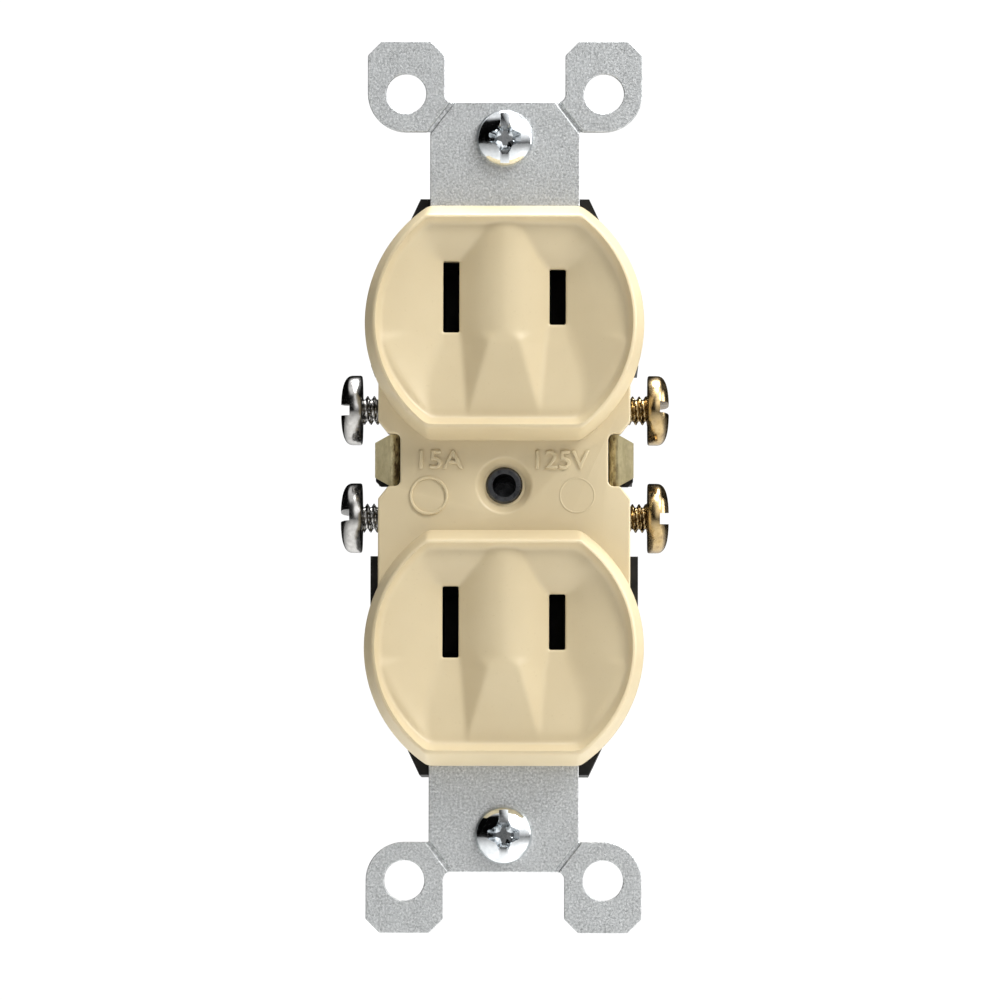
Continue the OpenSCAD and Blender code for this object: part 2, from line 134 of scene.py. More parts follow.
TERMINAL_HEAD_H = 2.6
TERMINAL_RIM_H = 1.05
TERMINAL_SQUARENESS = 2.7
TERMINAL_SLOT_HALF = 0.675
TERMINAL_SLOT_DEPTH = 1.1
BOX_RIM_H = 0.55
BOX_SLOT_HALF = 0.54
BOX_SLOT_DEPTH = 0.8
CROSS_DEPTH = 1.5
NECK_R = 1.3
NECK_L = 8.5
SLOT_REACH = 6                    # half the length of a slot's cutter

GRID = 0.36
SEGMENTS = 64
RING_SEGMENTS = 48
SHARP_ANGLE = math.radians(35)
SCREW_SHARP_ANGLE = math.radians(40)
BEVEL_ANGLE = math.radians(32)


# ---- Mesh helpers ----

def link(name, mesh):
    obj = bpy.data.objects.new(name, mesh)
    bpy.context.scene.collection.objects.link(obj)
    return obj


def from_bmesh(name, bm, sharp_angle=SHARP_ANGLE):
    """A linked object in metres, made from a bmesh in millimetres."""
    bmesh.ops.recalc_face_normals(bm, faces=bm.faces)
    mesh = bpy.data.meshes.new(name)
    bm.to_mesh(mesh)
    bm.free()
    mesh.transform(Matrix.Scale(MM, 4))
    obj = link(name, mesh)
    shade(obj, sharp_angle)
    return obj


def shade(obj, sharp_angle=SHARP_ANGLE):
    obj.data.polygons.foreach_set("use_smooth", [True] * len(obj.data.polygons))
    obj.data.set_sharp_from_angle(angle=sharp_angle)


def loft(loops, place=Matrix()):
    """A closed bmesh through loops of equal length; the two ends are capped with fans."""
    bm = bmesh.new()
    rows = [[bm.verts.new(place @ Vector(p)) for p in loop] for loop in loops]
    count = len(rows[0])
    for low, high in zip(rows, rows[1:]):
        for i in range(count):
            j = (i + 1) % count
            bm.faces.new((low[i], low[j], high[j], high[i]))
    for row in (rows[0], rows[-1]):
        middle = bm.verts.new(sum((v.co for v in row), Vector()) / count)
        for i in range(count):
            bm.faces.new((row[i], row[(i + 1) % count], middle))
    return bm


def circle(radius, height, segments=SEGMENTS):
    """A loop round the local Z axis; radius may be a function of the turn, from 0 to 1."""
    loop = []
    for i in range(segments):
        turn = i / segments
        r = radius(turn) if callable(radius) else radius
        loop.append((r * math.cos(FULL_TURN * turn), r * math.sin(FULL_TURN * turn), height))
    return loop


def lathe(name, profile, place=Matrix(), segments=SEGMENTS):
    """A turned solid from (radius, height) pairs along the local Z axis."""
    return from_bmesh(name, loft([circle(r, h, segments) for r, h in profile], place))


def block(name, low, high):
    bm = bmesh.new()
    bmesh.ops.create_cube(bm, size=1)
    for v in bm.verts:
        v.co = Vector(a + (c + 0.5) * (b - a) for c, a, b in zip(v.co, low, high))
    return from_bmesh(name, bm)


def apply_modifiers(obj):
    graph = bpy.context.evaluated_depsgraph_get()
    mesh = bpy.data.meshes.new_from_object(obj.evaluated_get(graph))
    old = obj.data
    obj.modifiers.clear()
    obj.data = mesh
    bpy.data.meshes.remove(old)


def combine(obj, operation, *tools):
    """Boolean of obj with each tool in turn; the tools are used up."""
    for tool in tools:
        step = obj.modifiers.new("step", "BOOLEAN")
        step.operation = operation
        step.solver = "MANIFOLD"
        step.object = tool
        apply_modifiers(obj)
        bpy.data.objects.remove(tool)


def rounded_loop(corners, steps=5):
    """A closed outline from (x, z, corner radius) triples."""
    outline = []
    count = len(corners)
    for i, (x, z, radius) in enumerate(corners):
        here = Vector((x, z))
        back = (Vector(corners[i - 1][:2]) - here).normalized()
        ahead = (Vector(corners[(i + 1) % count][:2]) - here).normalized()
        if radius == 0:
            outline.append(here)
            continue
        half = back.angle(ahead) / 2
        centre = here + (back + ahead).normalized() * radius / math.sin(half)
        start = here + back * radius / math.tan(half) - centre
        sweep = start.angle_signed(here + ahead * radius / math.tan(half) - centre)
        for k in range(steps + 1):
            outline.append(centre + Matrix.Rotation(-sweep * k / steps, 2) @ start)
    return outline


# ---- Height of a socket's face ----

def smooth_min(a, b, k):
    h = max(k - abs(a - b), 0) / k
    return min(a, b) - h * h * k / 4


def smooth_max(a, b, k):
    return -smooth_min(-a, -b, k)


def rim_distance(x, z):
    """How far a point lies inside the face's front outline."""
    return smooth_min(FACE_R - math.hypot(x, z), FACE_HALF - abs(z), 0.5)


def slot_offsets(side, x, z):
    """Distances beyond the slot's inner, outer, top and bottom edges."""
    across = side * x - SLOT_X
    up = z - CONTACT_RISE
    half = SLOT_L[side] / 2
    return -across - SLOT_W / 2, across - SLOT_W / 2, up - half, -up - half


def slot_distance(side, x, z):
    """How far a point lies outside the slot's rounded outline; below zero inside it."""
    across = abs(side * x - SLOT_X) - SLOT_W / 2 + SLOT_CORNER_R
    up = abs(z - CONTACT_RISE) - SLOT_L[side] / 2 + SLOT_CORNER_R
    return math.hypot(max(across, 0), max(up, 0)) + min(max(across, up), 0) - SLOT_CORNER_R


def funnel(side, x, z):
    """Depth of the funnel in front of one slot."""
    inner, outer, above, below = slot_offsets(side, x, z)
    inside = max(rim_distance(x, z) - CREST, 0)
    slot_away = math.hypot(max(outer, 0), max(above, 0))
    share = slot_away / (slot_away + inside + 1e-6)
    outward = MOUTH_DEPTH - (MOUTH_DEPTH - EDGE_DEPTH) * share
    inward = MOUTH_DEPTH - INNER_SLOPE * inner - INNER_FALL * max(LAND_BREAK_Z - z, 0)
    upward = smooth_max(MOUTH_DEPTH - TOP_SLOPE * above, EDGE_DEPTH + TOP_RISE * inside, 0.2)
    depth = smooth_min(inward, upward, 0.18)
    depth = smooth_min(depth, MOUTH_DEPTH - BOTTOM_SLOPE * below, 0.16)
    depth = smooth_min(depth, outward, 0.3)
    return smooth_min(depth, MOUTH_DEPTH, 0.2)


def ease(t):
    t = max(0, min(1, t))
    return t * t * (3 - 2 * t)


def face_depth(x, z):
    """Depth behind the front rim of a point on a socket's face."""
    depth = LAND_DEPTH + LAND_SLOPE * max(LAND_BREAK_Z - z, 0)
    blend = 0.2 + 1.2 * ease((z - LAND_BREAK_Z) / 1.6)
    for side in (-1, 1):
        depth = smooth_max(depth, funnel(side, x, z), blend)
    bevel = BEVEL_SLOPE * (rim_distance(x, z) - CREST)
    depth = max(smooth_min(depth, bevel, 0.55), 0)
    for side in (-1, 1):
        away = max(slot_distance(side, x, z), 0)
        if away < 2 * SLOT_LIP:
            depth += SLOT_LIP * (1 - away / (2 * SLOT_LIP)) ** 2
    return depth


# ---- Front cover ----

def face_ring(round_grow, flat_grow=None):
    """The face's front outline grown outwards, as a loop of (x, z) points."""
    if flat_grow is None:
        flat_grow = round_grow
    corner = max(0.15, FACE_CORNER_R + round_grow)
    cz = FACE_HALF + flat_grow - corner
    cx = math.sqrt((FACE_R + round_grow - corner) ** 2 - cz ** 2)
    tilt = math.atan2(cz, cx)
    quarter = math.pi / 2
    ring = []

    def arc(x, z, radius, start, stop, steps):
        for i in range(steps):
            a = start + (stop - start) * i / steps
            ring.append((x + radius * math.cos(a), z + radius * math.sin(a)))

    def flat(x0, x1, z, steps):
        for i in range(steps):
            ring.append((x0 + (x1 - x0) * i / steps, z))

    arc_steps, corner_steps, flat_steps = 60, 6, 26
    side = FACE_R + round_grow
    arc(0, 0, side, -tilt, tilt, arc_steps)
    arc(cx, cz, corner, tilt, quarter, corner_steps)
    flat(cx, -cx, cz + corner, flat_steps)
    arc(-cx, cz, corner, quarter, 2 * quarter - tilt, corner_steps)
    arc(0, 0, side, 2 * quarter - tilt, 2 * quarter + tilt, arc_steps)
    arc(-cx, -cz, corner, 2 * quarter + tilt, 3 * quarter, corner_steps)
    flat(-cx, cx, -cz - corner, flat_steps)
    arc(cx, -cz, corner, 3 * quarter, 4 * quarter - tilt, corner_steps)
    return ring


def slot_ring(side, grow):
    half_w, half_l = SLOT_W / 2 + grow, SLOT_L[side] / 2 + grow
    r = SLOT_CORNER_R + grow
    x, z = side * SLOT_X, CONTACT_RISE
    corners = [(x + half_w, z - half_l, r), (x + half_w, z + half_l, r),
               (x - half_w, z + half_l, r), (x - half_w, z - half_l, r)]
    coarse = rounded_loop(corners, steps=4)
    fine = []
    for a, b in zip(coarse, coarse[1:] + coarse[:1]):
        pieces = max(1, round((b - a).length / GRID))
        fine += [a + (b - a) * k / pieces for k in range(pieces)]
    return fine


def face_points():
    """Plan points of a face: (points, fixed edges, rim loop, slot loops)."""
    points, edges = [], []

    def add_loop(loop, fixed):
        first = len(points)
        points.extend(Vector(p) for p in loop)
        ids = list(range(first, len(points)))
        if fixed:
            edges.extend(zip(ids, ids[1:] + ids[:1]))
        return ids

    rim = add_loop(face_ring(-CREST), True)
    for step in (0.1, 0.2, 0.31, 0.43, 0.56, 0.7, 0.86, 1.04):
        add_loop(face_ring(-CREST - step), False)
    slots = {}
    for side in (-1, 1):
        slots[side] = add_loop(slot_ring(side, 0), True)
        for step in (0.07, 0.16, 0.3):
            add_loop(slot_ring(side, step), False)
    steps = int(FACE_R / GRID) + 1
    for i in range(-steps, steps + 1):
        for k in range(-steps, steps + 1):
            x, z = (i + 0.5 * (k % 2)) * GRID, k * GRID * 0.87
            if rim_distance(x, z) < CREST + 1.2:
                continue
            if any(slot_distance(side, x, z) < 0.45 for side in (-1, 1)):
                continue
            points.append(Vector((x, z)))
    return points, edges, rim, slots


def wall_rings():
    """Growth of the round sides and of the flats, with Y, from the crest down to the foot."""
    rings = []
    lean = [g / TAPER_L for g in FOOT_GROW]
    for k in range(6):
        a = math.pi / 2 * k / 5
        y = RIM_ROUND * (1 - math.cos(a))
        reach = RIM_ROUND * (1 - math.sin(a))
        rings.append((lean[0] * y - reach, lean[1] * y - reach, y - FACE_FRONT))
    rings += [(FOOT_GROW[0] * k / 4, FOOT_GROW[1] * k / 4, TAPER_L * k / 4 - FACE_FRONT)
              for k in (1, 2, 3)]
    for out, y in ((-0.05, TAPER_L - 0.2), (0, TAPER_L + 0.1),
                   (0, 0.5 * FACE_FRONT + 2), (0, FACE_FRONT)):
        rings.append((FOOT_GROW[0] + out, FOOT_GROW[1] + out, y - FACE_FRONT))
    return rings[1:]


def socket_block(centre_z):
    """One socket: drafted walls, rounded rim, sculpted face and two blind slots."""
    points, edges, rim, slots = face_points()
    verts, _, triangles, origins, _, _ = delaunay_2d_cdt(points, edges, [], 0, 1e-5)
    bm = bmesh.new()
    found = {}
    plan = []
    for i, p in enumerate(verts):
        v = bm.verts.new((p.x, -FACE_FRONT + face_depth(p.x, p.y), p.y + centre_z))
        plan.append(v)
        for source in origins[i]:
            found[source] = v
    for source in rim:
        found[source].co.y = -FACE_FRONT
    for tri in triangles:
        middle = sum((Vector(verts[i]) for i in tri), Vector((0, 0))) / 3
        if all(slot_distance(side, *middle) > 0 for side in (-1, 1)):
            bm.faces.new([plan[i] for i in tri])

    outer = [found[i] for i in rim]
    for round_grow, flat_grow, y in wall_rings():
        ring = [bm.verts.new((x, y, z + centre_z)) for x, z in face_ring(round_grow, flat_grow)]
        for i in range(len(ring)):
            j = (i + 1) % len(ring)
            bm.faces.new((outer[i], outer[j], ring[j], ring[i]))
        outer = ring
    bm.faces.new(outer)

    for side, ids in slots.items():
        mouth = [found[i] for i in ids]
        foot = [bm.verts.new((v.co.x, ROOM_Y + 0.3, v.co.z)) for v in mouth]
        for i in range(len(mouth)):
            j = (i + 1) % len(mouth)
            bm.faces.new((mouth[i], mouth[j], foot[j], foot[i]))
        bm.faces.new(foot)
    loose = [v for v in bm.verts if not v.link_faces]
    bmesh.ops.delete(bm, geom=loose, context="VERTS")
    return from_bmesh("socket_block", bm)


def bridge_block():
    top, bottom = CONTACT_RISE + NOTCH_HALF_H, CONTACT_RISE - NOTCH_HALF_H
    cut = BRIDGE_HALF - 0.8 * BRIDGE_CORNER
    right = [(BRIDGE_HALF, -SOCKET_Z, 0), (BRIDGE_HALF, bottom - BRIDGE_CORNER, 0.3),
             (cut, bottom, 0.4), (NOTCH_X, bottom, 0.7), (NOTCH_X, top, 0.7),
             (cut, top, 0.4), (BRIDGE_HALF, top + BRIDGE_CORNER, 0.3), (BRIDGE_HALF, SOCKET_Z, 0)]
    left = [(-x, z, r) for x, z, r in reversed(right)]
    outline = rounded_loop(right + left)
    bm = bmesh.new()
    front = [bm.verts.new((p.x, -BRIDGE_FRONT, p.y)) for p in outline]
    face = bm.faces.new(front)
    bm.edges.ensure_lookup_table()
    extruded = bmesh.ops.extrude_face_region(bm, geom=[face])
    for v in extruded["geom"]:
        if isinstance(v, bmesh.types.BMVert):
            v.co.y = 0
    rim_edges = [e for e in bm.edges if all(abs(v.co.y + BRIDGE_FRONT) < 1e-6 for v in e.verts)]
    bmesh.ops.bevel(bm, geom=rim_edges, offset=0.22, segments=3, affect="EDGES", profile=0.5)
    return from_bmesh("bridge_block", bm)


ALONG_Y = Matrix.Rotation(-math.pi / 2, 4, "X")   # local +Z becomes +Y


def leaf_rooms(front, deep):
    """Cutters for the four spaces that hold the contact leaves."""
    half = Vector((ROOM_W / 2, 0, ROOM_L / 2))
    for end in (-1, 1):
        for side in (-1, 1):
            middle = Vector((side * SLOT_X, 0, end * SOCKET_Z + CONTACT_RISE))
            low = middle - half + Vector((0, front, 0))
            high = middle + half + Vector((0, deep, 0))
            yield block("cut", low, high)


def build_cover():
    """Both sockets and the bridge in one closed piece, hollowed for the strap and contacts."""
    gap, deep = FIT_GAP, CUT_DEPTH
    cover = socket_block(SOCKET_Z)
    cover.name = "sculpted_cover"
    bridge = bridge_block()
    combine(bridge, "DIFFERENCE", *leaf_rooms(-BRIDGE_FRONT - 1, deep))
    combine(cover, "UNION", bridge, socket_block(-SOCKET_Z))
    web, pad = WEB_HALF + gap, WEB_PAD_R + gap
    wide, wide_from = STRAP_HALF + gap, STRAP_WIDE_Z - gap
    channel_y = -STRAP_T - gap
    recess = [(0.5, -BRIDGE_FRONT - 0.6), (RECESS_WALL[0][0], -BRIDGE_FRONT - 0.6)]
    recess += [(r, -BRIDGE_FRONT + depth) for r, depth in RECESS_WALL]
    recess += [*RECESS_FLOOR, (RIVET_ROOM_R, RECESS_FLOOR[-1][1]), (RIVET_ROOM_R, deep)]
    cutters = [block("cut", (-web, channel_y, -wide_from - 1), (web, deep, wide_from + 1)),
               lathe("cut", [(pad, channel_y), (pad, deep)], ALONG_Y),
               lathe("cut", recess, ALONG_Y)]
    for end in (-1, 1):
        z0, z1 = sorted((end * wide_from, end * STRAP_CUT_Z))
        cutters.append(block("cut", (-wide, channel_y, z0), (wide, deep, z1)))
    combine(cover, "DIFFERENCE", *cutters, *leaf_rooms(ROOM_Y, deep))
    peg_end = box_mm("front_cover")[1][1]
    peg = [(PEG_R, channel_y - 0.2), (PEG_R, peg_end - PEG_TIP), (PEG_R - PEG_TIP, peg_end)]
    for sx in (-1, 1):
        for sz in (-1, 1):
            place = Matrix.Translation((sx * PEG_X, 0, sz * PEG_Z)) @ ALONG_Y
            combine(cover, "UNION", lathe("peg", peg, place, 32))
    shade(cover)
    return cover


# ---- Screws ----

def thread_loops(start, stop, steps=10):
    """Loops of a right-handed helical thread from start to stop along the local Z axis."""
    loops = []
    count = round((stop - start) / THREAD_PITCH * steps)
    for i in range(count + 1):
        z = start + (stop - start) * i / count
        fade = min(1, (z - start) / THREAD_PITCH * THREAD_FADE)

        def radius(turn, z=z, fade=fade):
            phase = (z / THREAD_PITCH - turn) % 1
            ridge = max(0, min(1, RIDGE_PEAK - abs(phase - 0.5) * RIDGE_SLOPE))
            return THREAD_ROOT_R + (THREAD_R - THREAD_ROOT_R) * ridge * fade

        loops.append(circle(radius, z))
    return loops


def dome(radius, base, height, squareness=2.0, steps=14):
    """Profile of a domed head from its rim to near its middle; a higher squareness is flatter."""
    power = 2 / squareness
    points = []
    for k in range(steps):
        a = math.pi / 2 * k / steps
        points.append((radius * math.cos(a) ** power, base + height * math.sin(a) ** power))
    return points + [(0.15, base + height)]


def oriented(place_at, direction):
    """Placement with the local Z axis along direction and local X kept level."""
    z = Vector(direction).normalized()
    x = Vector((0, 1, 0)) if abs(z.y) < 0.5 else Vector((1, 0, 0))
    y = z.cross(x)
    turn = Matrix((x, y, z)).transposed().to_4x4()
    return Matrix.Translation(place_at) @ turn


def terminal_screw(node, side, slot_angle):
    """A binding-head screw: slotted dome, thread up to the head."""
    low, high = box_mm(node)
    head_r = (high[2] - low[2]) / 2
    head_h, rim_h = TERMINAL_HEAD_H, TERMINAL_RIM_H
    length = high[0] - low[0] - head_h
    under = side * (max(abs(low[0]), abs(high[0])) - head_h)
    at = (under, (low[1] + high[1]) / 2, (low[2] + high[2]) / 2)
    place = oriented(at, (side, 0, 0))
    loops = [circle(0.9, -length), circle(THREAD_ROOT_R, -length + 0.3)]
    loops += thread_loops(-length + 0.3, -0.12)
    loops += [circle(r, z) for r, z in [(1.85, -0.03), (2.0, 0), (head_r - 0.35, 0.0),
                                        (head_r - 0.1, 0.05), (head_r, 0.2)]]
    loops += [circle(r, z)
              for r, z in dome(head_r, rim_h, head_h - rim_h, TERMINAL_SQUARENESS)]
    screw = from_bmesh(node + "_turned", loft(loops, place), SCREW_SHARP_ANGLE)
    slot = block("slot", (-SLOT_REACH, -TERMINAL_SLOT_HALF, head_h - TERMINAL_SLOT_DEPTH),
                 (SLOT_REACH, TERMINAL_SLOT_HALF, head_h + 1))
    turn = Matrix.Rotation(side * slot_angle, 4, "Z")
    slot.data.transform(Matrix.Scale(MM, 4) @ place @ turn @ Matrix.Scale(1 / MM, 4))
    combine(screw, "DIFFERENCE", slot)
    shade(screw, SCREW_SHARP_ANGLE)
    return screw


def cross_recess(top, depth):
    """Loops of a tapered cross with a flared middle, along the local Z axis."""
    arm_l, arm_w, flare = 2.13, 0.55, 0.98

    def section(scale, z):
        corner = [(arm_l, -arm_w), (arm_l, arm_w), (flare, flare)]
        loop = []
        for quarter in range(4):
            a = quarter * math.pi / 2
            loop += [(scale * (x * math.cos(a) - y * math.sin(a)),
                      scale * (x * math.sin(a) + y * math.cos(a)), z) for x, y in corner]
        return loop

    return [section(1.12, top + 0.35), section(1, top), section(0.42, top - depth)]


def box_screw(node):
    """A truss-head machine screw with a combination recess and a thin neck."""
    low, high = box_mm(node)
    head_r = (high[0] - low[0]) / 2
    head_h = -STRAP_T - low[1]
    shank = high[1] + STRAP_T
    rim_h, neck_l = BOX_RIM_H, NECK_L
    at = (0, -STRAP_T, (low[2] + high[2]) / 2)
    place = oriented(at, (0, -1, 0))
    loops = [circle(0.85, -shank), circle(THREAD_ROOT_R, -shank + 0.45)]
    loops += thread_loops(-shank + 0.45, -neck_l - 0.4)
    loops += [circle(r, z) for r, z in [(1.5, -neck_l - 0.1), (NECK_R, -neck_l + 0.1), (NECK_R, 0),
                                        (head_r - 0.25, 0), (head_r - 0.06, 0.05), (head_r, 0.18)]]
    loops += [circle(r, z) for r, z in dome(head_r, rim_h, head_h - rim_h)]
    screw = from_bmesh(node + "_turned", loft(loops, place), SCREW_SHARP_ANGLE)
    to_place = Matrix.Scale(MM, 4) @ place @ Matrix.Scale(1 / MM, 4)
    slot = block("slot", (-BOX_SLOT_HALF, -SLOT_REACH, head_h - BOX_SLOT_DEPTH),
                 (BOX_SLOT_HALF, SLOT_REACH, head_h + 1))
    slot.data.transform(to_place)
    cross = from_bmesh("cross", loft(cross_recess(head_h, CROSS_DEPTH)))
    cross.data.transform(to_place)
    combine(screw, "DIFFERENCE", slot, cross)
    shade(screw, SCREW_SHARP_ANGLE)
    return screw


# ---- Materials ----

def new_material(name, **sockets):
    """A material with a Principled shader; sockets are set on the shader itself."""
    mat = bpy.data.materials.new(name)
    mat.use_nodes = True
    shader = mat.node_tree.nodes["Principled BSDF"]
    for key, value in sockets.items():
        shader.inputs[key.replace("_", " ").title().replace("Ior", "IOR")].default_value = value
    return mat, mat.node_tree, shader


def noise(tree, scale, detail=4, roughness=0.55, stretch=(1, 1, 1)):
    """A noise texture in the frame's own metres, times stretch."""
    where = tree.nodes.new("ShaderNodeTexCoord")
    mapping = tree.nodes.new("ShaderNodeMapping")
    mapping.inputs["Scale"].default_value = stretch
    tex = tree.nodes.new("ShaderNodeTexNoise")
    tex.inputs["Scale"].default_value = scale
    tree.links.new(where.outputs["Object"], mapping.inputs["Vector"])
    tree.links.new(mapping.outputs["Vector"], tex.inputs["Vector"])
    tex.inputs["Detail"].default_value = detail
    tex.inputs["Roughness"].default_value = roughness
    return tex.outputs["Fac"]


def ramp(tree, source, stops):
    node = tree.nodes.new("ShaderNodeValToRGB")
    band = node.color_ramp
    while len(band.elements) < len(stops):
        band.elements.new(0.5)
    for element, (place, color) in zip(band.elements, stops):
        element.position = place
        element.color = (*color, 1)
    tree.links.new(source, node.inputs["Fac"])
    return node.outputs["Color"]


def mix(tree, fac, a, b):
    node = tree.nodes.new("ShaderNodeMix")
    node.data_type = "RGBA"
    for key, value in ((0, fac), (6, a), (7, b)):
        if hasattr(value, "links"):
            tree.links.new(value, node.inputs[key])
        else:
            node.inputs[key].default_value = value if key == 0 else (*value, 1)
    return node.outputs[2]


def span(tree, source, low, high, from_low=0.3, from_high=0.7):
    node = tree.nodes.new("ShaderNodeMapRange")
    for key, value in (("From Min", from_low), ("From Max", from_high),
                       ("To Min", low), ("To Max", high)):
        node.inputs[key].default_value = value
    tree.links.new(source, node.inputs["Value"])
    return node.outputs["Result"]


def add_bumps(tree, shader, *layers):
    """Bump layers as (source, strength, height in metres), the last one on top."""
    normal = None
    for source, strength, height in layers:
        bump = tree.nodes.new("ShaderNodeBump")
        bump.inputs["Strength"].default_value = strength
        bump.inputs["Distance"].default_value = height
        tree.links.new(source, bump.inputs["Height"])
        if normal:
            tree.links.new(normal, bump.inputs["Normal"])
        normal = bump.outputs["Normal"]
    tree.links.new(normal, shader.inputs["Normal"])


def ivory_plastic():
    mat, tree, shader = new_material("ivory_plastic", specular_ior_level=0.45,
                                     subsurface_weight=0.06, subsurface_scale=0.0012)
    shader.inputs["Subsurface Radius"].default_value = (1.0, 0.8, 0.5)
    cloud = noise(tree, 90, 3)
    color = ramp(tree, cloud, [(0.3, (0.64, 0.53, 0.335)), (0.7, (0.69, 0.58, 0.375))])
    speck = noise(tree, 2600, 2)
    color = mix(tree, span(tree, speck, 0, 0.35, 0.66, 0.78), color, (0.55, 0.44, 0.26))
    tree.links.new(color, shader.inputs["Base Color"])
    tree.links.new(span(tree, noise(tree, 300, 4), 0.34, 0.44), shader.inputs["Roughness"])
    add_bumps(tree, shader, (noise(tree, 120, 2), 0.12, 0.0003),
              (noise(tree, 1500, 3), 0.10, 0.00004))
    return mat


def black_phenolic():
    mat, tree, shader = new_material("black_phenolic", specular_ior_level=0.14)
    color = ramp(tree, noise(tree, 500, 5), [(0.3, (0.006, 0.006, 0.006)),
                                             (0.72, (0.02, 0.019, 0.018))])
    tree.links.new(color, shader.inputs["Base Color"])
    tree.links.new(span(tree, noise(tree, 250, 4), 0.36, 0.52), shader.inputs["Roughness"])
    add_bumps(tree, shader, (noise(tree, 100, 2), 0.12, 0.0003),
              (noise(tree, 1800, 3), 0.22, 0.00004))
    return mat


def zinc_sheet():
    """Zinc-plated steel: a fine mottled grain with soft crystal patches."""
    mat, tree, shader = new_material("zinc_sheet", metallic=1.0)
    grain = noise(tree, 3600, 6, 0.75)
    patches = noise(tree, 700, 4, 0.65)
    color = ramp(tree, grain, [(0.34, (0.26, 0.27, 0.275)), (0.5, (0.58, 0.595, 0.60)),
                               (0.64, (0.90, 0.91, 0.91))])
    color = mix(tree, span(tree, patches, 0.0, 0.5), color, (0.50, 0.515, 0.52))
    tree.links.new(color, shader.inputs["Base Color"])
    tree.links.new(span(tree, patches, 0.40, 0.54), shader.inputs["Roughness"])
    add_bumps(tree, shader, (patches, 0.18, 0.0001), (grain, 0.5, 0.00007))
    return mat


def polished(name, dark, light, rough, stretch=(1, 1, 1), tarnish=None):
    """Plated or rolled metal: faint drawing marks, uneven gloss and, if given, tarnish."""
    mat, tree, shader = new_material(name, metallic=1.0)
    streaks = noise(tree, 1400, 5, 0.65, stretch)
    color = ramp(tree, streaks, [(0.3, dark), (0.7, light)])
    if tarnish:
        spots = noise(tree, 700, 6, 0.7)
        color = mix(tree, span(tree, spots, 0, 0.85, 0.52, 0.68), color, tarnish)
    tree.links.new(color, shader.inputs["Base Color"])
    tree.links.new(span(tree, noise(tree, 600, 4), rough[0], rough[1]), shader.inputs["Roughness"])
    add_bumps(tree, shader, (streaks, 0.10, 0.00003), (noise(tree, 260, 3), 0.10, 0.0001))
    return mat


def contact_brass():
    """Rolled brass, tarnished brown along its bends, with painted shade: near black deep inside the
    body, where the slots lie in shade.
    """
    mat, tree, shader = new_material("contact_brass", metallic=0.6)
    streaks = noise(tree, 1400, 5, 0.65, (1, 1, 0.25))
    color = ramp(tree, streaks, [(0.3, (0.50, 0.43, 0.24)), (0.7, (0.68, 0.60, 0.36))])
    split = tree.nodes.new("ShaderNodeSeparateXYZ")
    tree.links.new(tree.nodes.new("ShaderNodeTexCoord").outputs["Object"], split.inputs[0])
    aside = tree.nodes.new("ShaderNodeMath")
    aside.operation = "ABSOLUTE"
    tree.links.new(split.outputs["X"], aside.inputs[0])
    away = aside.outputs[0]
    spots = noise(tree, 900, 6, 0.75, (1, 1, 0.5))
    stain = tree.nodes.new("ShaderNodeMath")
    stain.operation = "MULTIPLY"
    tree.links.new(span(tree, away, 1, 0.25, BEND_X * MM, (BEND_X + 0.5) * MM), stain.inputs[0])
    tree.links.new(span(tree, spots, 0, 1, 0.42, 0.6), stain.inputs[1])
    color = mix(tree, stain.outputs[0], color, (0.10, 0.065, 0.03))
    # painted shade: inside the body the strips turn near black, standing in for the shade that
    # fills the slots
    inside = span(tree, away, 1, 0, (BEND_X - 2.2) * MM, (BEND_X - 1.6) * MM)
    color = mix(tree, inside, color, (0.012, 0.010, 0.008))
    tree.links.new(color, shader.inputs["Base Color"])
    tree.links.new(span(tree, spots, 0.28, 0.5), shader.inputs["Roughness"])
    add_bumps(tree, shader, (streaks, 0.12, 0.00003), (spots, 0.25, 0.00005))
    return mat


def pressed_fibre():
    mat, tree, shader = new_material("pressed_fibre", specular_ior_level=0.3)
    fibres = noise(tree, 900, 6, 0.7, (1, 1, 4))
    color = ramp(tree, fibres, [(0.3, (0.16, 0.085, 0.045)), (0.7, (0.33, 0.19, 0.105))])
    tree.links.new(color, shader.inputs["Base Color"])
    tree.links.new(span(tree, fibres, 0.7, 0.88), shader.inputs["Roughness"])
    add_bumps(tree, shader, (fibres, 0.4, 0.00008))
    return mat


def floor_paint():
    mat, tree, shader = new_material("floor_paint", specular_ior_level=0.2)
    color = ramp(tree, noise(tree, 6, 3), [(0.3, (0.86, 0.86, 0.85)), (0.7, (0.9, 0.9, 0.89))])
    tree.links.new(color, shader.inputs["Base Color"])
    tree.links.new(span(tree, noise(tree, 40, 3), 0.7, 0.85), shader.inputs["Roughness"])
    add_bumps(tree, shader, (noise(tree, 60, 3), 0.05, 0.001))
    return mat


IVORY = ivory_plastic()
BLACK = black_phenolic()
ZINC = zinc_sheet()
# very dark steel all over: partly the eyelet's own dark tone, partly painted shade so the rivet's
# lit bore reads black
STEEL = polished("plain_steel", (0.05, 0.05, 0.055), (0.16, 0.165, 0.17), (0.22, 0.4),
                 tarnish=(0.03, 0.028, 0.025))
BRASS = contact_brass()
SILVER_SCREW = polished("nickel_plate", (0.36, 0.35, 0.34), (0.56, 0.55, 0.53), (0.12, 0.28))
BRASS_SCREW = polished("brass_plate", (0.32, 0.225, 0.10), (0.54, 0.41, 0.22), (0.14, 0.32),
                       tarnish=(0.17, 0.11, 0.06))
BRIGHT_SCREW = polished("bright_zinc", (0.60, 0.63, 0.65), (0.78, 0.80, 0.82), (0.07, 0.15))
SPRING = polished("spring_steel", (0.40, 0.40, 0.39), (0.60, 0.60, 0.58), (0.25, 0.38), (1, 1, 0.2))
FIBRE = pressed_fibre()


